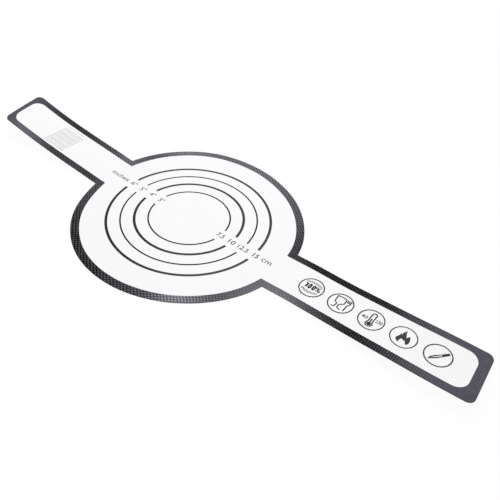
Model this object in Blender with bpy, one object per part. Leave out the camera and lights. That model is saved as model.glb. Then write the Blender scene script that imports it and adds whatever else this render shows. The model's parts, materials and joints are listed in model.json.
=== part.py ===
"""Silicone bread sling: a round printed baking mat with two long carrying straps.

The mat is a laminate of two white silicone skins over a glass-fibre cloth, and a dark
silicone band is moulded round its edge. The straps lift at the disc, and fold again
where they pass the rim of the pot. The origin is the disc's centre on its underside,
+X runs along the strap with the printed badges and +Y to the far side.
"""
import math

import bmesh
import bpy

# Outline of the sheet
DISC_RADIUS = 0.1060
STRAP_HALF_WIDTH = 0.0254
STRAP_LENGTH = 0.1019
RIGHT_GRIP_LENGTH = 0.0770
LEFT_GRIP_LENGTH = 0.0375
TIP_CORNER = 0.0060

# Dark band round the edge, and the white window inside it
DISC_BAND = 0.0076
STRAP_BAND = 0.0070
RIGHT_TIP_BAND = 0.0084
LEFT_TIP_BAND = 0.0050
WINDOW_CORNER = 0.0120

# Thickness of each layer
SKIN = 0.00025
CLOTH = 0.00020
BAND_RISE = 0.00004
INK = 0.00008

# Clearances
PLY_GAP = 0.00003
EDGE_GAP = 0.00010
HINGE_GAP = 0.00030
CLOTH_SETBACK = 0.0015

# Slope of each part of the straps at rest
RIGHT_STRAP_SLOPE = math.radians(3.2)
RIGHT_GRIP_SLOPE = math.radians(4.1)
LEFT_STRAP_SLOPE = math.radians(5.6)
LEFT_GRIP_SLOPE = math.radians(10.7)

# Printed measuring rings: diameter in centimetres, radius and width of the line
RINGS = (
    ("7_5cm", 0.0375, 0.0014),
    ("10cm", 0.0500, 0.0024),
    ("12_5cm", 0.0625, 0.0014),
    ("15cm", 0.0750, 0.0024),
)
LABEL_HALF_GAP = 0.0075

# Printed badge circles on the right strap, and how many of them stand before its fold
BADGES = ("number", "cup_and_fork", "thermometer", "flame", "knife")
BADGES_ON_STRAP = 3
BADGE_PITCH = 0.02775
BADGE_RADIUS = 0.0110
BADGE_LINE = 0.0010

# Fineness of round outlines
ARC_STEP = math.radians(3.5)
CORNER_STEP = math.radians(10.0)
BADGE_STEPS = 48
FLAT_ANGLE = math.radians(0.1)

# Heights of the layers above the underside
CLOTH_LOW = SKIN + PLY_GAP
CLOTH_HIGH = CLOTH_LOW + CLOTH
TOP_LOW = CLOTH_HIGH + PLY_GAP
TOP_HIGH = TOP_LOW + SKIN
BAND_HIGH = TOP_HIGH + BAND_RISE
INK_LOW = TOP_HIGH + PLY_GAP
INK_HIGH = INK_LOW + INK

# Places that follow from the outline
WINDOW_RADIUS = DISC_RADIUS - DISC_BAND
WINDOW_HALF_WIDTH = STRAP_HALF_WIDTH - STRAP_BAND
CLOTH_RADIUS = DISC_RADIUS - CLOTH_SETBACK
CLOTH_HALF_WIDTH = STRAP_HALF_WIDTH - CLOTH_SETBACK
DISC_EDGE_X = math.sqrt(DISC_RADIUS ** 2 - STRAP_HALF_WIDTH ** 2)
HINGE_X = DISC_EDGE_X + HINGE_GAP / 2
STRAP_START = HINGE_GAP / 2
STRAP_END = STRAP_LENGTH - HINGE_GAP / 2

# Colour, roughness and metallic value of each finish
FINISHES = {
    "white_silicone": ((0.90, 0.90, 0.91), 0.50, 0.0),
    "dark_silicone": ((0.045, 0.043, 0.050), 0.45, 0.0),
    "glass_cloth": ((0.80, 0.80, 0.76), 0.80, 0.0),
    "printed_ink": ((0.060, 0.058, 0.062), 0.55, 0.0),
}


def clear_scene():
    for item in list(bpy.data.objects):
        bpy.data.objects.remove(item, do_unlink=True)


def make_collection(name):
    group = bpy.data.collections.new(name)
    bpy.context.scene.collection.children.link(group)
    return group


def make_material(name, finish):
    colour, roughness, metallic = FINISHES[finish]
    material = bpy.data.materials.new(name)
    material.use_nodes = True
    shader = material.node_tree.nodes["Principled BSDF"]
    shader.inputs["Base Color"].default_value = (*colour, 1.0)
    shader.inputs["Roughness"].default_value = roughness
    shader.inputs["Metallic"].default_value = metallic
    material.diffuse_color = (*colour, 1.0)
    return material


def arc(centre, radius, start, end, step=ARC_STEP):
    """Points along an arc with both its ends, anticlockwise where end is the larger angle."""
    count = max(2, math.ceil(abs(end - start) / step))
    angles = [start + (end - start) * index / count for index in range(count + 1)]
    return [(centre[0] + radius * math.cos(angle), centre[1] + radius * math.sin(angle)) for angle in angles]


def disc_outline(radius, half_width, reach):
    """A disc with a straight tab on each side, as far as the straps' hinges."""
    start = math.asin(half_width / radius)
    outline = [(reach, -half_width), (reach, half_width)]
    outline += arc((0, 0), radius, start, math.pi - start)
    outline += [(-reach, half_width), (-reach, -half_width)]
    outline += arc((0, 0), radius, math.pi + start, 2 * math.pi - start)
    return outline


def band_outline(radius, half_width, inner_radius, inner_half_width, reach):
    """A band along the far side of the disc, with a short leg beside each strap."""
    outer = math.asin(half_width / radius)
    inner = math.asin(inner_half_width / inner_radius)
    outline = arc((0, 0), radius, outer, math.pi - outer)
    if reach > radius * math.cos(outer) + EDGE_GAP:
        outline = [(reach, half_width)] + outline + [(-reach, half_width)]
    outline += [(-reach, inner_half_width)]
    outline += arc((0, 0), inner_radius, math.pi - inner, inner)
    outline += [(reach, inner_half_width)]
    return outline


def strip_outline(start, end, low, high):
    return [(start, low), (end, low), (end, high), (start, high)]


def tip_outline(start, end, half_width, corner):
    """A strip with two rounded corners at its outer end."""
    corner = min(corner, 0.95 * half_width)
    outline = [(start, -half_width)]
    outline += arc((end - corner, -half_width + corner), corner, -math.pi / 2, 0, CORNER_STEP)
    outline += arc((end - corner, half_width - corner), corner, 0, math.pi / 2, CORNER_STEP)
    outline += [(start, half_width)]
    return outline


def ring_outline(radius, line):
    """The far half of a measuring ring, open where the labels stand."""
    inner_radius = radius - line / 2
    outer_radius = radius + line / 2
    outer = math.asin(LABEL_HALF_GAP / outer_radius)
    inner = math.asin(LABEL_HALF_GAP / inner_radius)
    outline = arc((0, 0), outer_radius, outer, math.pi - outer)
    outline += arc((0, 0), inner_radius, math.pi - inner, inner)
    return outline


def mirrored(outline):
    return [(x, -y) for x, y in reversed(outline)]


def add_curve(name, loops, low, high, group):
    """A flat plate between two heights, from one outline and any holes in it."""
    curve = bpy.data.curves.new(name, "CURVE")
    curve.dimensions = "2D"
    curve.fill_mode = "BOTH"
    curve.extrude = (high - low) / 2
    for loop in loops:
        spline = curve.splines.new("POLY")
        spline.points.add(len(loop) - 1)
        for point, (x, y) in zip(spline.points, loop):
            point.co = (x, y, 0, 1)
        spline.use_cyclic_u = True
    plate = bpy.data.objects.new(name, curve)
    plate.location.z = (low + high) / 2
    group.objects.link(plate)
    return plate


def as_mesh(plate):
    """The same plate as a closed mesh, which a Boolean can cut."""
    bpy.context.view_layer.update()
    graph = bpy.context.evaluated_depsgraph_get()
    mesh = bpy.data.meshes.new_from_object(plate.evaluated_get(graph))
    welded = bmesh.new()
    welded.from_mesh(mesh)
    bmesh.ops.remove_doubles(welded, verts=welded.verts, dist=0.000001)
    bmesh.ops.dissolve_limit(welded, angle_limit=FLAT_ANGLE, verts=welded.verts, edges=welded.edges)
    bmesh.ops.recalc_face_normals(welded, faces=welded.faces)
    welded.to_mesh(mesh)
    welded.free()
    name = plate.name
    group = plate.users_collection[0]
    place = plate.matrix_world.copy()
    bpy.data.objects.remove(plate, do_unlink=True)
    solid = bpy.data.objects.new(name, mesh)
    solid.matrix_world = place
    group.objects.link(solid)
    mesh.name = name
    return solid


def add_plate(name, loops, low, high, finish, parent=None):
    plate = add_curve(name, loops, low, high, PARTS)
    plate.data.materials.append(make_material(name, finish))
    plate.parent = parent
    return plate


def add_band(name, outline, groove, parent=None):
    """An edge band over the full thickness, with a groove that holds the cloth's margin."""
    cutter = as_mesh(add_curve(name + "_groove", [groove], CLOTH_LOW - PLY_GAP, CLOTH_HIGH + PLY_GAP, CUTTERS))
    cutter.hide_render = True
    cutter.display_type = "WIRE"
    cutter.parent = parent
    band = as_mesh(add_curve(name, [outline], 0, BAND_HIGH, PARTS))
    band.data.materials.clear()
    band.data.materials.append(make_material(name, "dark_silicone"))
    band.parent = parent
    cut = band.modifiers.new("groove", "BOOLEAN")
    cut.operation = "DIFFERENCE"
    cut.solver = "EXACT"
    cut.object = cutter
    return band


def add_axis(name, location, slope, turn, parent=None):
    """An empty on a hinge line, at the height of the band's top; its x axis runs up the strap."""
    axis = bpy.data.objects.new(name, None)
    axis.empty_display_size = 0.01
    axis.location = location
    axis.rotation_euler = (0, -slope, turn)
    axis.parent = parent
    PARTS.objects.link(axis)
    return axis


def hang(pieces):
    """Lowers pieces that were drawn from their underside, so that the hinge is at the band's top."""
    for piece in pieces:
        piece.location.z -= BAND_HIGH


def build_disc():
    skin_radius = WINDOW_RADIUS - EDGE_GAP
    skin_half_width = WINDOW_HALF_WIDTH - EDGE_GAP
    skin = disc_outline(skin_radius, skin_half_width, DISC_EDGE_X)
    cloth = disc_outline(CLOTH_RADIUS, CLOTH_HALF_WIDTH, DISC_EDGE_X)
    band = band_outline(DISC_RADIUS, STRAP_HALF_WIDTH, WINDOW_RADIUS, WINDOW_HALF_WIDTH, DISC_EDGE_X)
    groove = band_outline(
        CLOTH_RADIUS + EDGE_GAP,
        CLOTH_HALF_WIDTH + EDGE_GAP,
        WINDOW_RADIUS - STRAP_BAND,
        WINDOW_HALF_WIDTH - STRAP_BAND,
        DISC_RADIUS,
    )
    add_plate("disc_base_skin", [skin], 0, SKIN, "white_silicone")
    add_plate("disc_glass_cloth", [cloth], CLOTH_LOW, CLOTH_HIGH, "glass_cloth")
    add_plate("disc_top_skin", [skin], TOP_LOW, TOP_HIGH, "white_silicone")
    add_band("disc_edge_band_far", band, groove)
    add_band("disc_edge_band_near", mirrored(band), mirrored(groove))
    for size, radius, line in RINGS:
        outline = ring_outline(radius, line)
        add_plate("ring_" + size + "_far", [outline], INK_LOW, INK_HIGH, "printed_ink")
        add_plate("ring_" + size + "_near", [mirrored(outline)], INK_LOW, INK_HIGH, "printed_ink")


def build_strap(side, sides, axis):
    """The strap between the disc and the fold, drawn from the hinge along its own x axis."""
    skin_half_width = WINDOW_HALF_WIDTH - EDGE_GAP
    skin = strip_outline(STRAP_START, STRAP_END, -skin_half_width, skin_half_width)
    cloth = strip_outline(STRAP_START, STRAP_END, -CLOTH_HALF_WIDTH, CLOTH_HALF_WIDTH)
    groove_edge = CLOTH_HALF_WIDTH + EDGE_GAP
    groove = strip_outline(0, STRAP_LENGTH, -groove_edge, groove_edge)
    band = strip_outline(STRAP_START, STRAP_END, WINDOW_HALF_WIDTH, STRAP_HALF_WIDTH)
    name = side + "_strap_"
    hang([
        add_plate(name + "base_skin", [skin], 0, SKIN, "white_silicone", axis),
        add_plate(name + "glass_cloth", [cloth], CLOTH_LOW, CLOTH_HIGH, "glass_cloth", axis),
        add_plate(name + "top_skin", [skin], TOP_LOW, TOP_HIGH, "white_silicone", axis),
    ])
    for where, outline in zip(sides, (band, mirrored(band))):
        piece = add_band(name + "edge_band_" + where, outline, groove, axis)
        hang([piece, piece.modifiers["groove"].object])


def build_grip(side, length, tip_band, axis):
    """The outer end of a strap, drawn from the fold along its own x axis."""
    window_end = length - tip_band
    skin_corner = WINDOW_CORNER - EDGE_GAP
    skin = tip_outline(STRAP_START, window_end - EDGE_GAP, WINDOW_HALF_WIDTH - EDGE_GAP, skin_corner)
    cloth_corner = max(TIP_CORNER - CLOTH_SETBACK, EDGE_GAP)
    cloth = tip_outline(STRAP_START, length - CLOTH_SETBACK, CLOTH_HALF_WIDTH, cloth_corner)
    groove_end = length - CLOTH_SETBACK + EDGE_GAP
    groove = tip_outline(0, groove_end, CLOTH_HALF_WIDTH + EDGE_GAP, cloth_corner + EDGE_GAP)
    outer = tip_outline(STRAP_START, length, STRAP_HALF_WIDTH, TIP_CORNER)
    window = tip_outline(STRAP_START, window_end, WINDOW_HALF_WIDTH, WINDOW_CORNER)
    name = side + "_grip_"
    hang([
        add_plate(name + "base_skin", [skin], 0, SKIN, "white_silicone", axis),
        add_plate(name + "glass_cloth", [cloth], CLOTH_LOW, CLOTH_HIGH, "glass_cloth", axis),
        add_plate(name + "top_skin", [skin], TOP_LOW, TOP_HIGH, "white_silicone", axis),
    ])
    piece = add_band(name + "edge_band", outer + list(reversed(window)), groove, axis)
    hang([piece, piece.modifiers["groove"].object])


def build_badges(strap_axis, grip_axis):
    """A printed circle round each badge, in an even row with the fold midway between two of them."""
    step = 2 * math.pi / BADGE_STEPS
    for index, motif in enumerate(BADGES):
        past_fold = (index - BADGES_ON_STRAP + 0.5) * BADGE_PITCH
        if index < BADGES_ON_STRAP:
            axis = strap_axis
            centre = (STRAP_LENGTH + past_fold, 0)
        else:
            axis = grip_axis
            centre = (past_fold, 0)
        loops = [
            arc(centre, BADGE_RADIUS, 0, 2 * math.pi, step)[:-1],
            arc(centre, BADGE_RADIUS - BADGE_LINE, 0, 2 * math.pi, step)[:-1],
        ]
        hang([add_plate("badge_ring_" + motif, loops, INK_LOW, INK_HIGH, "printed_ink", axis)])


def build_side(side, turn, sides, grip_length, tip_band, strap_slope, grip_slope):
    hinge_place = (HINGE_X * math.cos(turn), 0, BAND_HIGH)
    strap_axis = add_axis(side + "_lift_axis", hinge_place, strap_slope, turn)
    grip_axis = add_axis(side + "_fold_axis", (STRAP_LENGTH, 0, 0), grip_slope - strap_slope, 0, strap_axis)
    build_strap(side, sides, strap_axis)
    build_grip(side, grip_length, tip_band, grip_axis)
    return strap_axis, grip_axis


clear_scene()
PARTS = make_collection("silicone_bread_sling")
CUTTERS = make_collection("cutters")
build_disc()
right_axes = build_side(
    "right", 0, ("far", "near"), RIGHT_GRIP_LENGTH, RIGHT_TIP_BAND, RIGHT_STRAP_SLOPE, RIGHT_GRIP_SLOPE
)
build_side(
    "left", math.pi, ("near", "far"), LEFT_GRIP_LENGTH, LEFT_TIP_BAND, LEFT_STRAP_SLOPE, LEFT_GRIP_SLOPE
)
build_badges(*right_axes)
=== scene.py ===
import json
import math
from collections import defaultdict, namedtuple

import bmesh
import bpy
import numpy as np
from mathutils import Matrix, Vector


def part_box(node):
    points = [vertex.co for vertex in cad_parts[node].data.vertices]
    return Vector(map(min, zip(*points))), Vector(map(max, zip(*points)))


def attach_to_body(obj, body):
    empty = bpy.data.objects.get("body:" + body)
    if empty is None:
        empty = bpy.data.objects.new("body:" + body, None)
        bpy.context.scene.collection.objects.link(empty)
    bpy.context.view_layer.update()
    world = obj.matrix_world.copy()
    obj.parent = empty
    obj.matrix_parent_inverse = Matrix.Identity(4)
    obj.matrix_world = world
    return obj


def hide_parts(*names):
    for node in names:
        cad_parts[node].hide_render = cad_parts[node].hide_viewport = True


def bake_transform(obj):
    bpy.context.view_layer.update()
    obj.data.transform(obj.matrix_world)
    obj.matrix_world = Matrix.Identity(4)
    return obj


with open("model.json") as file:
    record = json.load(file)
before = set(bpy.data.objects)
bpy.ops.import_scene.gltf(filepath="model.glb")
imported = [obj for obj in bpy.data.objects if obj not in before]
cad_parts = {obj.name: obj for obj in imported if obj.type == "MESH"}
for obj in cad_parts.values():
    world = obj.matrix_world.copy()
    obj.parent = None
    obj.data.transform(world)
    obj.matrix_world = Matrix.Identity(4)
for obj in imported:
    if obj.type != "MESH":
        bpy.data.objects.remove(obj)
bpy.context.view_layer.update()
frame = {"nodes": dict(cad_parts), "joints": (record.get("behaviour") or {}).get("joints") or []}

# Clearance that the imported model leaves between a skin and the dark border
EDGE_GAP = 0.00010

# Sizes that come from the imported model
HINGES = {joint["name"]: Vector(joint["pos_m"]) for joint in frame["joints"]}
HINGE_X = HINGES["right_lift"].x
THICKNESS = HINGES["right_lift"].z
DISC_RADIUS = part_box("disc_edge_band_far")[1].y
STRAP_HALF_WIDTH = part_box("right_strap_edge_band_far")[1].y
WINDOW_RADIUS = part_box("disc_top_skin")[1].y + EDGE_GAP
WINDOW_HALF_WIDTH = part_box("right_strap_top_skin")[1].y + EDGE_GAP
CLOTH_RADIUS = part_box("disc_glass_cloth")[1].y
CLOTH_HALF_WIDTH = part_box("right_strap_glass_cloth")[1].y
CLOTH_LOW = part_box("disc_glass_cloth")[0].z
CLOTH_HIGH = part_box("disc_glass_cloth")[1].z
BASE_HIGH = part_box("disc_base_skin")[1].z
TOP_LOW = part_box("disc_top_skin")[0].z
TOP_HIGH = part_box("disc_top_skin")[1].z
SEAM_X = math.sqrt(DISC_RADIUS ** 2 - STRAP_HALF_WIDTH ** 2)

# Corners at the tips: of the sheet, and of the white window
TIP_CORNER = 0.0060
WINDOW_CORNER = 0.0098

# How the sheet bends at rest over soft ramps, and the short stretch past each hinge that is cut finely
LIFT_RAMP = 0.024
FOLD_RAMP = 0.060
CURL = 0.012
STATION_STEP = 0.0005
LAST_STATION = 0.300

# Fineness of the meshes
ARC_STEP = math.radians(1.5)
CORNER_STEP = math.radians(7.5)
CURL_CUT = 0.0005
STRAP_CUT = 0.0040
DISC_CUT = 0.0080
EDGE_ROUND = 0.00020
EDGE_SEGMENTS = 2
SMOOTH_ANGLE = math.radians(40)
LETTER_STEPS = 4
LINE_ROUNDING = 1
THROUGH_STEPS = 5

# Distances under which points count as one, lie level, or lie on the outline
WELD = 0.000001
LEVEL = 0.00001
ON_OUTLINE = 0.00002

# How far each tip lies askew: the share of a point's distance across that its place along is out by
RIGHT_SKEW = 0.06
LEFT_SKEW = 0.19

# How the sheet lies out of true round the disc: the direction in degrees, and how far out its edge lies
# A program fitted these and the straps' sizes to the photograph's edges, and they are rounded to 0.5 mm
DISC_PULLS = {
    20: 0.0010, 45: -0.0005, 70: -0.0015, 95: -0.0005, 120: 0.0015, 145: 0.0010,
    200: -0.0025, 225: -0.0005, 250: 0.0005, 295: -0.0005, 320: -0.0005, 340: 0.0005,
}
DISC_PULL_RADIUS = 0.102
DISC_PULL_SPREAD = 0.032

# The same on the straps: the place in the flat pattern, and how far it lies out along and across
STRAP_PULLS = (
    (0.122, 0.022, 0.0, 0.0005),
    (0.122, -0.022, 0.0, 0.0010),
    (0.160, 0.022, 0.0, -0.0005),
    (0.160, -0.022, 0.0, 0.0005),
    (0.250, 0.022, 0.0, 0.0005),
    (0.250, -0.022, 0.0, -0.0005),
    (-0.122, 0.022, 0.0010, 0.0005),
    (-0.122, -0.022, 0.0010, 0.0005),
    (-0.240, 0.012, -0.0005, 0.0005),
    (-0.240, -0.012, -0.0005, -0.0005),
)
STRAP_PULL_SPREAD = 0.026


# The lie of the sheet at rest
Side = namedtuple("Side", "name sign lift fold slopes fold_s tip_s window_s skew stations run rise")


def reach(node, fold):
    """How far a sloping node runs out past a fold, and its slope."""
    low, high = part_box(node)
    run = max(abs(low.x), abs(high.x)) - abs(fold.x)
    rise = high.z - fold.z
    run -= THICKNESS * rise / run
    return math.hypot(run, rise), math.atan2(rise, run)


def ramp(stations, centre, width):
    return np.clip((stations - centre) / width + 0.5, 0, 1)


def slope_at(stations, fold_s, slopes):
    lift = slopes[0] * ramp(stations, HINGE_X, LIFT_RAMP)
    return lift + (slopes[1] - slopes[0]) * ramp(stations, fold_s, FOLD_RAMP)


def running_sum(values):
    return np.concatenate([[0], np.cumsum((values[1:] + values[:-1]) / 2)]) * STATION_STEP


def measure_side(name, sign, skew):
    """One strap's hinge places, slopes and lengths, and the line that its top follows at rest."""
    lift = HINGES[name + "_lift"]
    fold = HINGES[name + "_fold"]
    strap_slope = math.atan2(fold.z - lift.z, abs(fold.x - lift.x))
    fold_s = HINGE_X + (fold - lift).length
    length, grip_slope = reach(name + "_grip_edge_band", fold)
    tip_s = fold_s + length
    window_s = fold_s + (reach(name + "_grip_top_skin", fold)[0] + EDGE_GAP)
    slopes = (strap_slope, grip_slope)
    stations = np.arange(0, LAST_STATION, STATION_STEP)
    slope = slope_at(stations, fold_s, slopes)
    run = running_sum(np.cos(slope))
    rise = THICKNESS + running_sum(np.sin(slope))
    return Side(name, sign, lift, fold, slopes, fold_s, tip_s, window_s, skew, stations, run, rise)


RIGHT = measure_side("right", 1, RIGHT_SKEW)
LEFT = measure_side("left", -1, LEFT_SKEW)


def fade(x, y, spot_x, spot_y, spread):
    """How near points lie to a spot, from 1 in its middle down to 0 far from it."""
    return np.exp(-((x - spot_x) ** 2 + (y - spot_y) ** 2) / spread ** 2)


def pulled(flat):
    """Points of the flat pattern shifted in its plane, as the sheet lies slightly out of true."""
    pulls = []
    for direction, out in DISC_PULLS.items():
        along, across = math.cos(math.radians(direction)), math.sin(math.radians(direction))
        place = (DISC_PULL_RADIUS * along, DISC_PULL_RADIUS * across)
        pulls.append((*place, DISC_PULL_SPREAD, out * along, out * across))
    pulls += [(x, y, STRAP_PULL_SPREAD, along, across) for x, y, along, across in STRAP_PULLS]
    shifted = flat.copy()
    for x, y, spread, along, across in pulls:
        share = fade(flat[:, 0], flat[:, 1], x, y, spread)
        shifted[:, 0] += share * along
        shifted[:, 1] += share * across
    return shifted


def rest_shape(flat):
    """Where points of the flat pattern lie at rest: along the sheet, across it, and above its underside."""
    placed = flat.copy()
    for side in (RIGHT, LEFT):
        chosen = flat[:, 0] * side.sign > 0
        along = flat[chosen, 0] * side.sign
        out = np.clip((along - side.fold_s) / (side.tip_s - side.fold_s), 0, 1)
        along = along - side.sign * side.skew * out * flat[chosen, 1]
        slope = slope_at(along, side.fold_s, side.slopes)
        depth = flat[chosen, 2] - THICKNESS
        placed[chosen, 0] = side.sign * (np.interp(along, side.stations, side.run) - depth * np.sin(slope))
        placed[chosen, 2] = np.interp(along, side.stations, side.rise) + depth * np.cos(slope)
    return placed


def flat_place(side, x):
    """The distance along the sheet of a point on one side that lies at x at rest."""
    return side.sign * float(np.interp(abs(x), side.run, side.stations))


def tip_of(x):
    return np.where(x > 0, RIGHT.tip_s, LEFT.tip_s)


# Outlines in the flat pattern
def arc(centre, radius, start, end, step=ARC_STEP):
    count = max(2, math.ceil(abs(end - start) / step))
    angles = [start + (end - start) * index / count for index in range(count + 1)]
    return [
        (centre[0] + radius * math.cos(angle), centre[1] + radius * math.sin(angle))
        for angle in angles
    ]


def circle(centre, radius, step):
    """A closed circle's points, without the last one that would lie on the first."""
    return arc(centre, radius, 0, 2 * math.pi, step)[:-1]


def disc_outline(radius, half_width, end):
    start = math.asin(half_width / radius)
    outline = [(end, -half_width), (end, half_width)]
    outline += arc((0, 0), radius, start, math.pi - start)
    outline += [(-end, half_width), (-end, -half_width)]
    outline += arc((0, 0), radius, math.pi + start, 2 * math.pi - start)
    return outline


def border_outline():
    """The far half of the disc's dark border."""
    outer = math.asin(STRAP_HALF_WIDTH / DISC_RADIUS)
    inner = math.asin(WINDOW_HALF_WIDTH / WINDOW_RADIUS)
    outline = arc((0, 0), DISC_RADIUS, outer, math.pi - outer)
    outline += [(-SEAM_X, WINDOW_HALF_WIDTH)]
    outline += arc((0, 0), WINDOW_RADIUS, math.pi - inner, inner)
    outline += [(SEAM_X, WINDOW_HALF_WIDTH)]
    return outline


def strip_outline(start, end, low, high):
    return [(start, low), (end, low), (end, high), (start, high)]


def tip_outline(start, end, half_width, corner):
    outline = [(start, -half_width)]
    outline += arc((end - corner, -half_width + corner), corner, -math.pi / 2, 0, CORNER_STEP)
    outline += arc((end - corner, half_width - corner), corner, 0, math.pi / 2, CORNER_STEP)
    outline += [(start, half_width)]
    return outline


def mirrored(outline, sign_x, sign_y):
    return [(x * sign_x, y * sign_y) for x, y in outline]


def outline_distance(x, y):
    """How far a point of the border lies inside the sheet's outline."""
    distance = abs(x)
    if distance <= SEAM_X + LEVEL:
        return abs(DISC_RADIUS - math.hypot(x, y))
    corner = (tip_of(x) - TIP_CORNER, STRAP_HALF_WIDTH - TIP_CORNER)
    past = (max(distance - corner[0], 0), max(abs(y) - corner[1], 0))
    return abs(TIP_CORNER - math.hypot(*past))


def on_outer_edge(first, second):
    """Whether an edge of a border piece runs along the sheet's own outline, at its top or bottom."""
    if abs(first.co.z - second.co.z) > LEVEL:
        return False
    return all(outline_distance(vert.co.x, vert.co.y) < ON_OUTLINE for vert in (first, second))


def cuts(start, end, step):
    count = max(1, round((end - start) / step))
    return [start + (end - start) * index / count for index in range(1, count)]


def bend_cuts(side, start, end, extra=()):
    """Where a strap or grip is cut: finely over the curl past its hinge, and coarsely beyond."""
    along = cuts(start, start + CURL, CURL_CUT) + [*extra, start + CURL]
    along += cuts(start + CURL, end, STRAP_CUT)
    return [side.sign * value for value in along]


# Meshes drawn in the flat pattern
def as_piece(name, mesh):
    piece = bpy.data.objects.new(name, mesh)
    bpy.context.scene.collection.objects.link(piece)
    return piece


def plate(name, outlines, low, high, along=(), across=(), rounded=None):
    """A closed plate drawn in the flat pattern, cut into cells so that it can bend."""
    shape = bmesh.new()
    for outline in outlines:
        shape.faces.new([shape.verts.new((x, y, high)) for x, y in outline])
    bmesh.ops.remove_doubles(shape, verts=shape.verts, dist=WELD)
    for value, normal in [(x, (1, 0, 0)) for x in along] + [(y, (0, 1, 0)) for y in across]:
        geometry = shape.verts[:] + shape.edges[:] + shape.faces[:]
        place = Vector(normal) * value
        bmesh.ops.bisect_plane(shape, geom=geometry, dist=WELD, plane_co=place, plane_no=normal)
    grown = bmesh.ops.extrude_face_region(shape, geom=shape.faces[:], use_keep_orig=True)
    for item in grown["geom"]:
        if isinstance(item, bmesh.types.BMVert):
            item.co.z = low
    bmesh.ops.recalc_face_normals(shape, faces=shape.faces)
    if rounded:
        edges = [edge for edge in shape.edges if rounded(*edge.verts)]
        bmesh.ops.bevel(shape, geom=edges, offset=EDGE_ROUND, segments=EDGE_SEGMENTS, affect="EDGES")
    mesh = bpy.data.meshes.new(name)
    shape.to_mesh(mesh)
    shape.free()
    return as_piece(name, mesh)


# Soft light and dark patches of painted sheen on the dark border: their place in the flat pattern, spread
# and strength
# A program fitted 13 of the 14 to the photograph: 8 are only rounded, 5 were changed, 1 was added
MIDDLE_TONE = 0.50
SHEEN_PATCHES = (
    (0.155, 0.050, 0.045, -1.10),
    (0.115, -0.035, 0.030, 0.60),
    (0.190, -0.025, 0.030, -0.40),
    (0.255, 0.000, 0.025, 0.15),
    (-0.240, 0.010, 0.025, 0.15),
    (-0.105, 0.020, 0.015, 0.30),
    (-0.190, 0.000, 0.045, -0.50),
    (-0.120, -0.015, 0.015, -0.20),
    (-0.205, -0.025, 0.030, 0.55),
    (-0.070, 0.075, 0.025, 0.30),
    (0.000, 0.100, 0.050, 0.20),
    (-0.030, -0.095, 0.070, -0.40),
    (-0.070, -0.075, 0.020, -0.10),
    (0.060, -0.080, 0.020, 0.55),
)
TONE_POWER = 1.5

# Where the weave changes along the sheet: the place, and the stretch that the change takes
PLAIN_FROM = 0.062
PLAIN_OVER = 0.036
# EVEN_FROM and EVEN_OVER say where the painted glints on the border's weave grow weaker
EVEN_FROM = 0.070
EVEN_OVER = 0.030
RIBBED_FROM = 0.150
RIBBED_OVER = 0.030
WOVEN_FROM = 0.090
WOVEN_OVER = 0.130

# How much weaker the painted glints on the border's weave are on the straps, and in one spot: its place,
# spread and strength
STRAP_EVENNESS = 0.45
CALM_PLACE = (0.102, -0.036)
CALM_SPREAD = 0.030
CALM_STRENGTH = 0.75


def rising(values, start, over):
    """A share that rises from 0 to 1 over a stretch."""
    return np.clip((values - start) / over, 0, 1)


def border_sheen_tone(x, y):
    """The dark border's painted sheen: how light it is, from 0 to 1, as a share of light and not of how it
    looks.
    """
    tone = np.full_like(x, MIDDLE_TONE)
    for *spot, strength in SHEEN_PATCHES:
        tone += strength * fade(x, y, *spot)
    return np.clip(tone, 0, 1) ** TONE_POWER


def border_plain(x, y):
    """How far the weave has faded out of the border, towards the tips."""
    return rising(abs(x) - tip_of(x), -PLAIN_FROM, PLAIN_OVER)


def border_glint_strength(x, y):
    """How strong the painted glints on the border's weave are: most on the disc, and least in the calm
    spot.
    """
    calm = CALM_STRENGTH * fade(x, y, *CALM_PLACE, CALM_SPREAD)
    return (1 - STRAP_EVENNESS * rising(abs(x), EVEN_FROM, EVEN_OVER)) * (1 - calm)


def border_ribbed(x, y):
    """How far the dark border's crossings give way to cross ribs, out along the straps."""
    return rising(abs(x), RIBBED_FROM, RIBBED_OVER)


def window_woven(x, y):
    """How strongly the weave shows through the white: most towards the right tip."""
    return rising(x, WOVEN_FROM, WOVEN_OVER)


# What the materials read at each point, by the attribute's name
KEPT_VALUES = {
    "tone": border_sheen_tone,
    "plain": border_plain,
    "relief": border_glint_strength,
    "ribbed": border_ribbed,
    "woven": window_woven,
}


def settle(piece, is_sheet):
    """Keeps each point's place in the flat pattern, then moves the piece to where it lies at rest."""
    mesh = piece.data
    flat = np.zeros(len(mesh.vertices) * 3, np.float32)
    mesh.vertices.foreach_get("co", flat)
    mesh.attributes.new("flat_place", "FLOAT_VECTOR", "POINT").data.foreach_set("vector", flat)
    flat = flat.reshape(-1, 3).astype(float)
    for name, rule in KEPT_VALUES.items():
        values = rule(flat[:, 0], flat[:, 1]).astype(np.float32)
        mesh.attributes.new(name, "FLOAT", "POINT").data.foreach_set("value", values)
    placed = rest_shape(pulled(flat) if is_sheet else flat)
    mesh.vertices.foreach_set("co", placed.astype(np.float32).ravel())
    mesh.shade_smooth()
    mesh.set_sharp_from_angle(angle=SMOOTH_ANGLE)
    mesh.update()


def attach(piece, side, part):
    """Makes a piece ride on its body, or else bakes its place into its mesh."""
    if part == "disc":
        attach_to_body(piece, "disc")
    elif part.startswith("far_"):
        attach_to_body(piece, side.name + part.removeprefix("far"))
    else:
        bend(piece)


def bend(piece):
    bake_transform(piece)


# Weave: the spacing of its threads, and the shares of its height in crossings, cross ribs and long files
THREAD_ALONG = 0.00197
THREAD_ACROSS = 0.00165
DISC_WEAVE = (0.70, 0.60, 0.0)
STRAP_WEAVE = (0.25, 0.85, 0.0)
WINDOW_WEAVE = (0.35, 0.45, 0.35)

# How far the weave stands out of each surface
BORDER_BUMP = 0.00005
WINDOW_BUMP = 0.00004
CLOTH_BUMP = 0.00006
INK_BUMP = 0.00002

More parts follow.
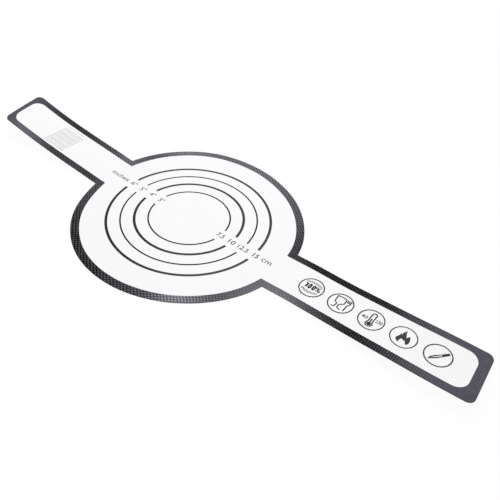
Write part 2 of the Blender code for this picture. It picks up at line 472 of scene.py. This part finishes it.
# Fineness of the noise: soft clouds in the border and in the white, and fine grain
BORDER_CLOUDS = 170
WINDOW_CLOUDS = 40
GRAIN = 900

# The dark border: how much random noise is added to its painted sheen, and how sharply and where the
# painted glints on the crests part from the hollows
CLOUD_SHARE = 0.20
GRAIN_SHARE = 0.30
CREST_STEEPNESS = 2.0
CREST_LEVEL = -1.1
EVEN_SHARE = 0.01
PLAIN_FLATNESS = 0.9

# The border's screen levels from 0 to 255, each at its darkest and at its lightest painted sheen, the
# crests' levels being painted glints
HOLLOW_LEVELS = (0, 110)
GLINT_LEVELS = (90, 200)
PLAIN_LEVELS = (28, 123)

# The white window and the cloth: screen levels, and how the weave and clouds shade the white
WINDOW_LEVELS = (236, 255)
CLOTH_LEVELS = (205, 238)
WEAVE_SHADE = 0.8
CLOUD_SHADE = 0.2
MIDDLE_SHADE = 0.4
LEAST_WOVEN = 0.2
CLOTH_SHADE = 0.5
CLOTH_MIDDLE = 0.5

# Ink: how thin it is everywhere, and how much its thickness varies with the grain
INK_WEAR = 0.1
INK_GRAIN = 0.5

# Slight tints
NEUTRAL = (1.0, 1.0, 1.0)
WINDOW_TINT = (0.995, 0.995, 1.01)
WOVEN_TINT = (1.0, 0.97, 1.10)
PLAIN_TINT = (1.0, 0.97, 1.20)

# The colour mix node's sockets
MIX_FIRST = 6
MIX_SECOND = 7
MIX_RESULT = 2


def grey(value, tint):
    """A colour written as a screen value from 0 to 255, with a slight tint."""
    share = value / 255
    linear = share / 12.92 if share <= 0.04045 else ((share + 0.055) / 1.055) ** 2.4
    return tuple(linear * part for part in tint) + (1.0,)


class Graph:
    """Short ways to add and join the nodes of one material."""

    def __init__(self, name, roughness, specular):
        self.material = bpy.data.materials.new(name)
        self.material.use_nodes = True
        self.tree = self.material.node_tree
        self.shader = self.tree.nodes["Principled BSDF"]
        self.shader.inputs["Roughness"].default_value = roughness
        self.shader.inputs["Specular IOR Level"].default_value = specular

    def add(self, kind, **settings):
        node = self.tree.nodes.new(kind)
        for key, value in settings.items():
            setattr(node, key, value)
        return node

    def put(self, value, socket):
        if isinstance(value, bpy.types.NodeSocket):
            self.tree.links.new(value, socket)
        else:
            socket.default_value = value

    def math(self, operation, first, second=0.0, third=0.0, clamp=False):
        node = self.add("ShaderNodeMath", operation=operation, use_clamp=clamp)
        for value, socket in zip((first, second, third), node.inputs):
            self.put(value, socket)
        return node.outputs[0]

    def mix(self, share, first, second):
        node = self.add("ShaderNodeMix", data_type="RGBA")
        self.put(share, node.inputs["Factor"])
        self.put(first, node.inputs[MIX_FIRST])
        self.put(second, node.inputs[MIX_SECOND])
        return node.outputs[MIX_RESULT]

    def greys(self, share, levels, tint=NEUTRAL):
        """A grey between two screen levels."""
        return self.mix(share, grey(levels[0], tint), grey(levels[1], tint))

    def noise(self, place, scale):
        node = self.add("ShaderNodeTexNoise")
        self.put(place, node.inputs["Vector"])
        node.inputs["Scale"].default_value = scale
        return node.outputs["Fac"]

    def flat(self):
        return self.add("ShaderNodeAttribute", attribute_name="flat_place").outputs["Vector"]

    def kept(self, name):
        return self.add("ShaderNodeAttribute", attribute_name=name).outputs["Fac"]

    def local(self):
        return self.add("ShaderNodeTexCoord").outputs["Object"]

    def along_and_across(self, place):
        parts = self.add("ShaderNodeSeparateXYZ")
        self.put(place, parts.inputs[0])
        return parts.outputs[0], parts.outputs[1]

    def wave(self, place, period, shift=0.0):
        return self.math("SINE", self.math("MULTIPLY_ADD", place, 2 * math.pi / period, shift))

    def weave(self, place, crossings, ribs, files):
        """A plain weave's height, from about -1 to 1: crossings that rise by turns, ribs and files."""
        x, y = self.along_and_across(place)
        by_turns = self.math("MULTIPLY", self.wave(x, 2 * THREAD_ALONG), self.wave(y, 2 * THREAD_ACROSS))
        height = self.math("MULTIPLY", by_turns, crossings)
        height = self.math("MULTIPLY_ADD", self.wave(x, THREAD_ALONG, -math.pi / 2), ribs, height)
        return self.math("MULTIPLY_ADD", self.wave(y, THREAD_ACROSS, -math.pi / 2), files, height)

    def finish(self, colour, height, distance):
        """Gives the shader its colour, and the fine bump that height draws."""
        self.put(colour, self.shader.inputs["Base Color"])
        bump = self.add("ShaderNodeBump")
        bump.inputs["Distance"].default_value = distance
        bump.inputs["Strength"].default_value = 1.0
        self.put(height, bump.inputs["Height"])
        self.put(bump.outputs["Normal"], self.shader.inputs["Normal"])
        return self.material


def dark_silicone():
    """Charcoal rubber with a woven emboss: crossings on the disc, ribs out along the straps, plain tips;
    its colour carries painted sheen by place and painted glints on the crests.
    """
    graph = Graph("dark_silicone", roughness=0.50, specular=0.04)
    ribbed = graph.kept("ribbed")
    crossings, ribs = (
        graph.math("MULTIPLY_ADD", ribbed, on_strap - on_disc, on_disc)
        for on_disc, on_strap in zip(DISC_WEAVE[:2], STRAP_WEAVE[:2])
    )
    weave = graph.weave(graph.flat(), crossings, ribs, DISC_WEAVE[2])
    clouds = graph.math("MULTIPLY", graph.noise(graph.flat(), BORDER_CLOUDS), CLOUD_SHARE)
    grain = graph.noise(graph.flat(), GRAIN)
    speckle = graph.math("ADD", clouds, graph.math("MULTIPLY", grain, GRAIN_SHARE))
    speckle = graph.math("ADD", speckle, -(CLOUD_SHARE + GRAIN_SHARE) / 2)
    # Painted sheen by place, from the kept patches, with random clouds and grain added
    tone = graph.math("ADD", graph.kept("tone"), speckle, clamp=True)
    # Painted glints on the weave's crests: how sharply and where they part from the hollows, and how strong
    # they are by place
    start = graph.math("ADD", grain, CREST_LEVEL)
    crest = graph.math("MULTIPLY_ADD", weave, CREST_STEEPNESS, start, clamp=True)
    crest = graph.math("SUBTRACT", crest, EVEN_SHARE)
    crest = graph.math("MULTIPLY_ADD", crest, graph.kept("relief"), EVEN_SHARE)
    # The hollows' charcoal and the crests' painted glints, both lighter where the painted sheen is
    hollows = graph.greys(tone, HOLLOW_LEVELS, WOVEN_TINT)
    crests = graph.greys(tone, GLINT_LEVELS, WOVEN_TINT)
    smooth = graph.greys(tone, PLAIN_LEVELS, PLAIN_TINT)
    plain = graph.kept("plain")
    colour = graph.mix(plain, graph.mix(crest, hollows, crests), smooth)
    height = graph.math("MULTIPLY", weave, graph.math("MULTIPLY_ADD", plain, -PLAIN_FLATNESS, 1.0))
    return graph.finish(colour, height, BORDER_BUMP)


def white_silicone():
    """White rubber with the cloth's weave just showing through, most towards the right tip."""
    graph = Graph("white_silicone", roughness=0.45, specular=0.30)
    show = graph.math("MULTIPLY_ADD", graph.kept("woven"), 1 - LEAST_WOVEN, LEAST_WOVEN)
    raised = graph.math("MULTIPLY", graph.weave(graph.flat(), *WINDOW_WEAVE), show)
    clouds = graph.noise(graph.flat(), WINDOW_CLOUDS)
    shade = graph.math("MULTIPLY_ADD", clouds, CLOUD_SHADE, MIDDLE_SHADE)
    shade = graph.math("MULTIPLY_ADD", raised, WEAVE_SHADE, shade, clamp=True)
    return graph.finish(graph.greys(shade, WINDOW_LEVELS, WINDOW_TINT), raised, WINDOW_BUMP)


def glass_cloth():
    """Plain-woven white glass cloth."""
    graph = Graph("glass_cloth", roughness=0.80, specular=0.30)
    weave = graph.weave(graph.flat(), *WINDOW_WEAVE)
    shade = graph.math("MULTIPLY_ADD", weave, CLOTH_SHADE, CLOTH_MIDDLE)
    return graph.finish(graph.greys(shade, CLOTH_LEVELS), weave, CLOTH_BUMP)


def ink(name, levels, weave_share=0.25, sheen_places=(0.0, 0.0, 0.0)):
    """Screen ink that lies a little thinner on the crests of the weave, so that it looks lighter there.

    The last argument says how much lighter painted sheen makes it a metre to the right, a metre to the far
    side, and by the product of both.
    """
    graph = Graph(name, roughness=0.55, specular=0.10)
    place = graph.local()
    weave = graph.weave(place, *DISC_WEAVE)
    x, y = graph.along_and_across(place)
    right, far, both = sheen_places
    # Painted sheen: the ink lighter to the right, to the far side and by their product, on top of its even
    # wear
    thin = graph.math("ADD", graph.math("MULTIPLY", x, right, clamp=True), INK_WEAR)
    thin = graph.math("MULTIPLY_ADD", y, far, thin)
    thin = graph.math("MULTIPLY_ADD", graph.math("MULTIPLY", x, y), both, thin)
    thin = graph.math("MULTIPLY_ADD", weave, weave_share, thin)
    thin = graph.math("MULTIPLY_ADD", graph.noise(place, GRAIN), INK_GRAIN, thin, clamp=True)
    return graph.finish(graph.greys(thin, levels), weave, INK_BUMP)


DARK = dark_silicone()
WHITE = white_silicone()
CLOTH = glass_cloth()
# The ring ink is painted lighter towards the right and the far side, the same sheen as the border's
RING_INK = ink("ring_ink", (0, 84), weave_share=0.55, sheen_places=(4.0, 2.0, -70.0))
THIN_RING_INK = ink("thin_ring_ink", (0, 26), weave_share=0.50)
LABEL_INK = ink("label_ink", (44, 88))
BADGE_INK = ink("badge_ink", (12, 38))
SOLID_INK = ink("solid_ink", (42, 78))
PALE_INK = ink("pale_ink", (196, 214))


# The sheets, and by body the pieces that each top skin carries
Sheet = namedtuple("Sheet", "piece body outline rests_on")
SHEETS = []
CARRIED = defaultdict(list)


def body_of(side, part):
    return "disc" if part == "disc" else side.name + "_" + part.removeprefix("far_")


def finish_piece(piece, material, side, part, replaced=()):
    """Gives a flat piece its material, lays it at rest, and ties it to its body and nodes."""
    piece.data.materials.append(material)
    settle(piece, material in (DARK, WHITE, CLOTH))
    attach(piece, side, part)
    if material not in (WHITE, CLOTH):
        CARRIED[body_of(side, part)].append(piece)
    if replaced:
        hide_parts(*replaced)


def layers(part, side, window, cloth, along, across):
    """The two white skins and the cloth between them, for one stretch of the sheet."""
    body = body_of(side, part)
    below = "floor"
    for layer, outline, low, high, material, slot in (
        ("base_skin", window, 0, BASE_HIGH, WHITE, "white_silicone"),
        ("glass_cloth", cloth, CLOTH_LOW, CLOTH_HIGH, CLOTH, "glass_cloth"),
        ("top_skin", window, TOP_LOW, TOP_HIGH, WHITE, "white_silicone"),
    ):
        piece = plate(body + "_sheet_" + layer, [outline], low, high, along, across)
        finish_piece(piece, material, side, part, [body + "_" + layer])
        SHEETS.append(Sheet(piece, body, outline, below))
        below = piece.name


def declare_sheets():
    """Works out each layer's flat area and what lies on it, and does nothing more with them."""
    for piece, body, outline, rests_on in SHEETS:
        corners = zip(outline, outline[1:] + outline[:1])
        area = abs(sum(x * next_y - next_x * y for (x, y), (next_x, next_y) in corners)) / 2
        carried = CARRIED[body] if piece.name.endswith("top_skin") else ()


# The sheet itself, body by body
ACROSS_STRAP = cuts(-STRAP_HALF_WIDTH, STRAP_HALF_WIDTH, DISC_CUT)


def build_disc():
    grid = cuts(-DISC_RADIUS, DISC_RADIUS, DISC_CUT)
    window = disc_outline(WINDOW_RADIUS, WINDOW_HALF_WIDTH, SEAM_X)
    cloth = disc_outline(CLOTH_RADIUS, CLOTH_HALF_WIDTH, SEAM_X)
    layers("disc", RIGHT, window, cloth, grid, grid)
    for sign, where in ((1, "far"), (-1, "near")):
        outline = mirrored(border_outline(), 1, sign)
        piece = plate("disc_border_" + where, [outline], 0, THICKNESS, grid, grid, on_outer_edge)
        node = "disc_edge_band_" + where
        finish_piece(piece, DARK, RIGHT, "disc", [node])


def build_strap(side):
    name = side.name + "_strap"
    along = bend_cuts(side, HINGE_X, side.fold_s, extra=[HINGE_X])
    window = strip_outline(SEAM_X, side.fold_s, -WINDOW_HALF_WIDTH, WINDOW_HALF_WIDTH)
    cloth = strip_outline(SEAM_X, side.fold_s, -CLOTH_HALF_WIDTH, CLOTH_HALF_WIDTH)
    border = strip_outline(SEAM_X, side.fold_s, WINDOW_HALF_WIDTH, STRAP_HALF_WIDTH)
    window, cloth = (mirrored(outline, side.sign, 1) for outline in (window, cloth))
    layers("strap", side, window, cloth, along, ACROSS_STRAP)
    for sign, where in ((1, "far"), (-1, "near")):
        outline = mirrored(border, side.sign, sign)
        piece = plate(name + "_border_" + where, [outline], 0, THICKNESS, along, (), on_outer_edge)
        node = name + "_edge_band_" + where
        finish_piece(piece, DARK, side, "strap", [node])


def build_grip(side):
    name = side.name + "_grip"
    along = bend_cuts(side, side.fold_s, side.tip_s)
    setback = DISC_RADIUS - CLOTH_RADIUS
    window = tip_outline(side.fold_s, side.window_s, WINDOW_HALF_WIDTH, WINDOW_CORNER)
    cloth = tip_outline(side.fold_s, side.tip_s - setback, CLOTH_HALF_WIDTH, TIP_CORNER - setback)
    border = tip_outline(side.fold_s, side.tip_s, STRAP_HALF_WIDTH, TIP_CORNER) + window[::-1]
    window, cloth, border = (mirrored(outline, side.sign, 1) for outline in (window, cloth, border))
    layers("grip", side, window, cloth, along, ACROSS_STRAP)
    piece = plate(name + "_border", [border], 0, THICKNESS, along, ACROSS_STRAP, on_outer_edge)
    finish_piece(piece, DARK, side, "grip", [name + "_edge_band"])


# Print: how deep the ink sits in the skin and how far it stands proud
INK_SINK = 0.00004
INK_RISE = 0.00006
INK_DEPTH = INK_SINK + INK_RISE
INK_HEIGHT = TOP_HIGH + (INK_RISE - INK_SINK) / 2

# Each label's text, its start and end along the sheet, its middle across, its height and its added weight
LABELS = {
    "label_7_5": ("7.5", 0.0338, 0.0417, 0.0000, 0.0052, 0.00004),
    "label_10": ("10", 0.0474, 0.0541, 0.0000, 0.0054, 0.00004),
    "label_12_5": ("12.5", 0.0579, 0.0688, 0.0002, 0.0053, 0.00003),
    "label_15": ("15", 0.0744, 0.0800, 0.0004, 0.0053, 0.00008),
    "label_cm": ("cm", 0.0837, 0.0935, 0.0004, 0.0040, 0.0),
    "label_3": ('3"', -0.0388, -0.0330, 0.0002, 0.0052, 0.0),
    "label_4": ('4"', -0.0510, -0.0450, 0.0006, 0.0050, 0.0),
    "label_5": ('5"', -0.0634, -0.0574, 0.0002, 0.0056, 0.0),
    "label_6": ('6"', -0.0762, -0.0698, 0.0006, 0.0048, 0.00002),
    "label_inches": ("inches", -0.1026, -0.0808, 0.0009, 0.0052, 0.0),
}


def mesh_of(curve):
    """The mesh of a curve or text, with its caps and seams joined."""
    drawn = as_piece(curve.name, curve)
    bpy.context.view_layer.update()
    evaluated = drawn.evaluated_get(bpy.context.evaluated_depsgraph_get())
    mesh = bpy.data.meshes.new_from_object(evaluated)
    bpy.data.objects.remove(drawn, do_unlink=True)
    shape = bmesh.new()
    shape.from_mesh(mesh)
    bmesh.ops.remove_doubles(shape, verts=shape.verts, dist=WELD)
    bmesh.ops.recalc_face_normals(shape, faces=shape.faces)
    shape.to_mesh(mesh)
    shape.free()
    return mesh


def lettering(name, text, start, end, middle, height, weight):
    """Raised ink letters that fill a box of the flat pattern, from start to end along it."""
    curve = bpy.data.curves.new(name, "FONT")
    curve.body = text
    curve.size = height
    curve.offset = weight
    curve.resolution_u = LETTER_STEPS
    curve.extrude = INK_DEPTH / 2
    mesh = mesh_of(curve)
    xs = [vertex.co.x for vertex in mesh.vertices]
    ys = [vertex.co.y for vertex in mesh.vertices]
    scale = ((end - start) / (max(xs) - min(xs)), height / (max(ys) - min(ys)), 1, 1)
    centre = Vector(((max(xs) + min(xs)) / 2, (max(ys) + min(ys)) / 2, 0))
    place = Vector(((start + end) / 2, middle, INK_HEIGHT))
    mesh.transform(Matrix.Translation(place) @ Matrix.Diagonal(scale) @ Matrix.Translation(-centre))
    return as_piece(name, mesh)


def ink_lines(name, lines, centre, width):
    """Raised ink lines along flat paths, each given as its points and whether it closes on itself."""
    curve = bpy.data.curves.new(name, "CURVE")
    curve.dimensions = "3D"
    curve.bevel_depth = width / 2
    curve.bevel_resolution = LINE_ROUNDING
    curve.use_fill_caps = True
    for points, closed in lines:
        spline = curve.splines.new("POLY")
        spline.points.add(len(points) - 1)
        for point, (x, y) in zip(spline.points, points):
            point.co = (x, y, 0, 1)
        spline.use_cyclic_u = closed
    mesh = mesh_of(curve)
    press = Matrix.Diagonal((1, 1, INK_DEPTH / width, 1))
    mesh.transform(Matrix.Translation((*centre, INK_HEIGHT)) @ press)
    return as_piece(name, mesh)


def ink_patches(name, outlines, centre, along=()):
    """Solid patches of raised ink."""
    moved = [[(x + centre[0], y + centre[1]) for x, y in outline] for outline in outlines]
    return plate(name, moved, TOP_HIGH - INK_SINK, TOP_HIGH + INK_RISE, along)


def open_lines(paths):
    return [(points, False) for points in paths]


def closed_lines(paths):
    return [(points, True) for points in paths]


def through(points):
    """A smooth curve through a few points: a Catmull-Rom spline whose ends repeat the end points."""
    last = len(points) - 1
    path = []
    for index in range(last):
        corners = [points[min(max(index + shift, 0), last)] for shift in (-1, 0, 1, 2)]
        before, first, second, after = (np.array(corner) for corner in corners)
        for step in range(THROUGH_STEPS):
            share = step / THROUGH_STEPS
            bent = (2 * first + (second - before) * share
                    + (2 * before - 5 * first + 4 * second - after) * share ** 2
                    + (3 * first - before - 3 * second + after) * share ** 3)
            path.append(tuple(bent / 2))
    path.append(points[-1])
    return path


def millimetres(points):
    return [(x / 1000, y / 1000) for x, y in points]


# Badge pictures, in millimetres from the badge's centre, by the kind of ink that draws them
# The bars stand in two rows where a badge would carry small words round its number
BAR_COUNT = 13
BAR_PITCH = 1.15
BAR_LEAN = 0.35
BAR_BOW = 32
UPPER_BARS = (5.3, 7.3)
LOWER_BARS = (-6.7, -4.5)
UNEVEN_STEP = 2.1


def number():
    """A plain 100 % in drawn strokes, and short bars above and below it."""
    one = [[(-6.3, 2.3), (-5.3, 3.2), (-5.3, -1.8)], [(-4.8, 3.2), (-4.8, -1.8)]]
    half_zero = [(-0.8, -0.9), (-0.8, 2.4), (-0.3, 3.2)]
    half_zero_down = [(0.3, 3.2), (0.8, 2.4), (0.8, -0.9)]
    foot = [(0.3, -1.7), (-0.3, -1.7)]
    zero = half_zero + half_zero_down + foot
    zeros = [[(x + shift, y) for x, y in zero] for shift in (-2.0, 1.7)]
    dots = [circle(centre, 0.9, CORNER_STEP * 4) for centre in ((4.4, 2.3), (7.0, -0.6))]
    slash = [(4.4, -1.6), (7.0, 3.2)]
    bars = []
    for index in range(-(BAR_COUNT // 2), BAR_COUNT // 2 + 1):
        x = index * BAR_PITCH
        lean = BAR_LEAN * math.sin(index * UNEVEN_STEP)
        bow = x * x / BAR_BOW
        for (low, high), sink in ((UPPER_BARS, -bow), (LOWER_BARS, bow)):
            bars.append([(x - lean, low + sink), (x + lean, high + sink)])
    return {
        "bold": open_lines(one) + closed_lines(zeros),
        "fine": closed_lines(dots) + open_lines([slash]),
        "bars": open_lines(bars),
    }


def cup_and_fork():
    cup = [(-5.6, -6.1), (-3.4, -5.9), (-2.8, -5.0), (-2.8, -1.3), (-5.3, -0.1), (-5.8, 6.9)]
    brim = through([(-5.8, 6.9), (-4.0, 6.6), (-1.6, 7.0), (0.6, 6.8), (2.4, 6.4)])
    back = [(2.4, 6.4), (2.7, 0.9), (-0.3, -1.5), (-0.7, -3.6), (-0.2, -5.6), (2.8, -6.6)]
    tines = [[(3.9, 6.8), (3.9, 4.2)], [(5.2, 6.8), (5.2, 4.2)], [(3.4, 4.1), (6.6, 4.1)]]
    fork = [(6.7, 6.8), (6.7, 2.2), (5.4, 1.1), (5.4, -6.2)]
    return {"lines": open_lines([cup, brim, back, fork]), "fine": open_lines(tines)}


def thermometer():
    bulb_centre = (0.2, -4.6)
    tube = arc((0.2, 5.8), 1.8, 0, math.pi, CORNER_STEP * 2)
    tube += arc(bulb_centre, 2.7, math.radians(132), math.radians(408), CORNER_STEP * 2)
    bulb = circle(bulb_centre, 1.8, CORNER_STEP * 2)
    column = strip_outline(-0.35, 0.75, -4.6, 1.3)
    return {"lines": closed_lines([tube]), "fill": [bulb, column]}


def flame():
    """Three joined tongues, each drawn as smooth runs from one sharp turn to the next."""
    runs = (
        ((-1.4, -6.6), (-3.2, -6.1), (-4.7, -4.6), (-4.7, -2.4), (-3.5, 0.0), (-3.0, 3.4)),
        ((-3.0, 3.4), (-2.3, 1.9), (-1.8, 0.8)),
        ((-1.8, 0.8), (-2.0, 3.0), (-1.5, 5.0), (0.2, 7.6)),
        ((0.2, 7.6), (0.2, 5.4), (1.1, 2.9), (1.9, 0.5)),
        ((1.9, 0.5), (2.8, 1.8), (4.0, 3.2)),
        ((4.0, 3.2), (5.0, 1.0), (5.7, -2.0), (5.3, -4.8), (3.9, -6.1)),
        ((3.9, -6.1), (3.3, -5.0), (2.7, -3.9), (2.0, -2.6)),
        ((2.0, -2.6), (0.9, -3.2), (-0.2, -1.9)),
        ((-0.2, -1.9), (-1.4, -3.2), (-1.9, -4.8), (-1.4, -6.6)),
    )
    return {"fill": [[point for run in runs for point in through(run)[:-1]]]}


def knife():
    blade = [(2.3, 2.3), (-1.6, -1.4), (-4.2, -4.4), (-5.2, -6.9), (-3.4, -5.4), (0.2, -2.2), (3.4, 1.2)]
    handle = [(2.0, 2.5), (5.2, 6.0), (6.1, 6.6), (7.1, 6.3), (7.4, 5.1), (3.8, 0.9)]
    return {"lines": closed_lines([blade]), "fill": [handle]}


# Each badge: what draws it, the part of the right side that it lies on, and its plain numbers if any
Badge = namedtuple("Badge", "draw part numbers")
BADGES = {
    "number": Badge(number, "strap", {}),
    "cup_and_fork": Badge(cup_and_fork, "strap", {}),
    "thermometer": Badge(thermometer, "strap", {
        "low": ("40", -8.6, -3.3, 0.2, 3.4),
        "high": ("230", 3.5, 8.9, 1.2, 3.6),
    }),
    "flame": Badge(flame, "grip", {}),
    "knife": Badge(knife, "grip", {}),
}
BADGE_WIDTHS = {"bars": 0.0006, "fine": 0.0009, "lines": 0.0011, "bold": 0.0014}
NUMBER_WEIGHT = 0.00004
BADGE_RING_WIDTH = 0.0010


def build_labels():
    for name, (text, *place) in LABELS.items():
        piece = lettering(name, text, *place)
        finish_piece(piece, LABEL_INK, RIGHT, "disc")


def badge_pieces(name, badge, centre, fine):
    """A badge's picture and plain numbers in raised ink, its fills cut where fine says."""
    pieces = []
    for kind, shapes in badge.draw().items():
        if kind == "fill":
            outlines = [millimetres(outline) for outline in shapes]
            pieces.append(ink_patches(name + "_fill", outlines, centre, fine))
        else:
            lines = [(millimetres(points), closed) for points, closed in shapes]
            pieces.append(ink_lines(name + "_" + kind, lines, centre, BADGE_WIDTHS[kind]))
    for kind, (digits, start, end, middle, height) in badge.numbers.items():
        place = (centre[0] + start / 1000, centre[0] + end / 1000, middle / 1000, height / 1000)
        pieces.append(lettering(name + "_" + kind, digits, *place, NUMBER_WEIGHT))
    return pieces


def build_badges():
    """Draws each badge inside its packed circle, and redraws the circle where the sheet bends under it."""
    for kind, badge in BADGES.items():
        name = "print_" + kind
        ring = "badge_ring_" + kind
        low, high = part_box(ring)
        centre = (flat_place(RIGHT, (low.x + high.x) / 2), 0)
        radius = (high.y - low.y) / 2
        bends = badge.part == "grip" and centre[0] - radius < RIGHT.fold_s + CURL
        follow = badge.part if bends else "far_" + badge.part
        fine = cuts(centre[0] - radius, centre[0] + radius, CURL_CUT) if bends else ()
        for piece in badge_pieces(name, badge, centre, fine):
            solid = badge.part == "grip" and piece.name.endswith("fill")
            finish_piece(piece, SOLID_INK if solid else BADGE_INK, RIGHT, follow)
        if bends:
            line = circle((0, 0), radius - BADGE_RING_WIDTH / 2, CORNER_STEP / 2)
            piece = ink_lines(name + "_ring", closed_lines([line]), centre, BADGE_RING_WIDTH)
            finish_piece(piece, SOLID_INK, RIGHT, follow, [ring])


# The pale block of small print on the left strap, as rows of plain dashes
BLOCK_START = -0.1872
BLOCK_END = -0.1612
BLOCK_ROWS = 12
BLOCK_LOW = -0.0165
BLOCK_HIGH = 0.0128
BLOCK_LINE_WIDTH = 0.0011
DASH = 0.0034
DASH_UNEVENNESS = 0.6
DASH_GAP = 0.0008
TOP_ROW_Y = 0.0152
TOP_ROW_WIDTH = 0.0007


def dashes(start, end, seed):
    """A row of uneven dashes between two places."""
    row = []
    place = start
    index = seed
    while place < end:
        length = DASH * (1 + DASH_UNEVENNESS * math.sin(index * UNEVEN_STEP))
        row.append((place, min(place + length, end)))
        place += length + DASH_GAP
        index += 1
    return row


def build_small_print():
    rows = []
    for index in range(BLOCK_ROWS):
        s = BLOCK_START + (BLOCK_END - BLOCK_START) * index / (BLOCK_ROWS - 1)
        rows += [[(s, start), (s, end)] for start, end in dashes(BLOCK_LOW, BLOCK_HIGH, index * 3)]
    top_dashes = dashes(BLOCK_START, BLOCK_END, 1)
    top_row = [[(start, TOP_ROW_Y), (end, TOP_ROW_Y)] for start, end in top_dashes]
    block = ink_lines("print_small_block", open_lines(rows), (0, 0), BLOCK_LINE_WIDTH)
    top = ink_lines("print_small_top_row", open_lines(top_row), (0, 0), TOP_ROW_WIDTH)
    for piece in (block, top):
        finish_piece(piece, PALE_INK, LEFT, "far_strap")


def dress_cad_prints():
    """The printed circles that stay as packed get the ink's material."""
    for name, node in frame["nodes"].items():
        if name.startswith("badge_ring_"):
            part = BADGES[name.removeprefix("badge_ring_")].part
            material, body = SOLID_INK, body_of(RIGHT, part)
        elif name.startswith(("ring_7_5cm", "ring_12_5cm")):
            material, body = THIN_RING_INK, "disc"
        elif name.startswith("ring_"):
            material, body = RING_INK, "disc"
        else:
            continue
        node.data.materials.clear()
        node.data.materials.append(material)
        CARRIED[body].append(node)


# The photograph's camera: turned about the disc, raised, rolled, drawn back and slid sideways
CAMERA_LENS = 41.20
SENSOR = 36.0
CAMERA_TURN = math.radians(34.376)
CAMERA_ELEVATION = math.radians(43.074)
CAMERA_ROLL = math.radians(5.524)
CAMERA_DISTANCE = 0.52654
CAMERA_SLIDE = (0.058612, -0.031322)
CAMERA_SHIFT = (-0.0064, 0.0032)
CAMERA_CLIP = 0.01


def add_camera():
    data = bpy.data.cameras.new("camera")
    data.lens = CAMERA_LENS
    data.sensor_width = SENSOR
    data.shift_x, data.shift_y = CAMERA_SHIFT
    data.clip_start = CAMERA_CLIP
    camera = as_piece("camera", data)
    back = Vector((0, -math.cos(CAMERA_ELEVATION), math.sin(CAMERA_ELEVATION)))
    level = Vector((1, 0, 0))
    rise = back.cross(level)
    right = math.cos(CAMERA_ROLL) * level + math.sin(CAMERA_ROLL) * rise
    up = math.cos(CAMERA_ROLL) * rise - math.sin(CAMERA_ROLL) * level
    place = back * CAMERA_DISTANCE + right * CAMERA_SLIDE[0] + up * CAMERA_SLIDE[1]
    aim = Matrix((right, up, back)).transposed().to_4x4()
    aim.translation = place
    camera.matrix_world = Matrix.Rotation(CAMERA_TURN, 4, "Z") @ aim
    bpy.context.scene.camera = camera


# Floor and light
FLOOR_SIZE = 6.0
FLOOR_DROP = 0.00005
FLOOR_COLOUR = (0.98, 0.98, 0.98, 1)
WHITE_LIGHT = (1, 1, 1, 1)
SHADOW_SHARE = 0.06
WORLD_LIGHT = 0.69
KEY_POWER = 18.0
KEY_SIZE = 1.4
KEY_PLACE = Vector((-0.6, 0.9, 1.8))


def background_rays(tree):
    """The rays that see the white background: the camera's own, and those off glossy or clear surfaces."""
    paths = tree.nodes.new("ShaderNodeLightPath")
    seen = paths.outputs["Is Camera Ray"]
    for kind in ("Is Glossy Ray", "Is Transmission Ray"):
        either = tree.nodes.new("ShaderNodeMath")
        either.operation = "MAXIMUM"
        tree.links.new(seen, either.inputs[0])
        tree.links.new(paths.outputs[kind], either.inputs[1])
        seen = either.outputs[0]
    return seen


def add_floor():
    """A plain white floor that stays white in the view and keeps the sheet's soft shadow."""
    bpy.ops.mesh.primitive_plane_add(size=FLOOR_SIZE, location=(0, 0, -FLOOR_DROP))
    floor = bpy.context.object
    floor.name = "floor"
    material = bpy.data.materials.new("floor")
    material.use_nodes = True
    tree = material.node_tree
    tree.nodes.clear()
    diffuse = tree.nodes.new("ShaderNodeBsdfDiffuse")
    diffuse.inputs["Color"].default_value = FLOOR_COLOUR
    glow = tree.nodes.new("ShaderNodeEmission")
    glow.inputs["Color"].default_value = WHITE_LIGHT
    share = tree.nodes.new("ShaderNodeMath")
    share.operation = "MULTIPLY"
    share.inputs[1].default_value = 1 - SHADOW_SHARE
    blend = tree.nodes.new("ShaderNodeMixShader")
    output = tree.nodes.new("ShaderNodeOutputMaterial")
    tree.links.new(background_rays(tree), share.inputs[0])
    tree.links.new(share.outputs[0], blend.inputs[0])
    tree.links.new(diffuse.outputs[0], blend.inputs[1])
    tree.links.new(glow.outputs[0], blend.inputs[2])
    tree.links.new(blend.outputs[0], output.inputs["Surface"])
    floor.data.materials.append(material)


def add_light():
    """An even white world, brighter where it is only seen, and one large soft lamp."""
    world = bpy.data.worlds.new("studio")
    bpy.context.scene.world = world
    world.use_nodes = True
    tree = world.node_tree
    background = tree.nodes["Background"]
    background.inputs["Color"].default_value = WHITE_LIGHT
    level = tree.nodes.new("ShaderNodeMapRange")
    level.inputs["To Min"].default_value = WORLD_LIGHT
    level.inputs["To Max"].default_value = 1.0
    tree.links.new(background_rays(tree), level.inputs["Value"])
    tree.links.new(level.outputs["Result"], background.inputs["Strength"])
    lamp = bpy.data.lights.new("softbox", "AREA")
    lamp.shape = "DISK"
    lamp.size = KEY_SIZE
    lamp.energy = KEY_POWER
    softbox = as_piece("softbox", lamp)
    softbox.location = KEY_PLACE
    softbox.rotation_euler = KEY_PLACE.to_track_quat("Z", "Y").to_euler()


add_camera()
build_disc()
for strap_side in (RIGHT, LEFT):
    build_strap(strap_side)
    build_grip(strap_side)
build_labels()
build_badges()
build_small_print()
dress_cad_prints()
declare_sheets()
add_floor()
add_light()
bpy.context.scene.view_settings.view_transform = "Standard"
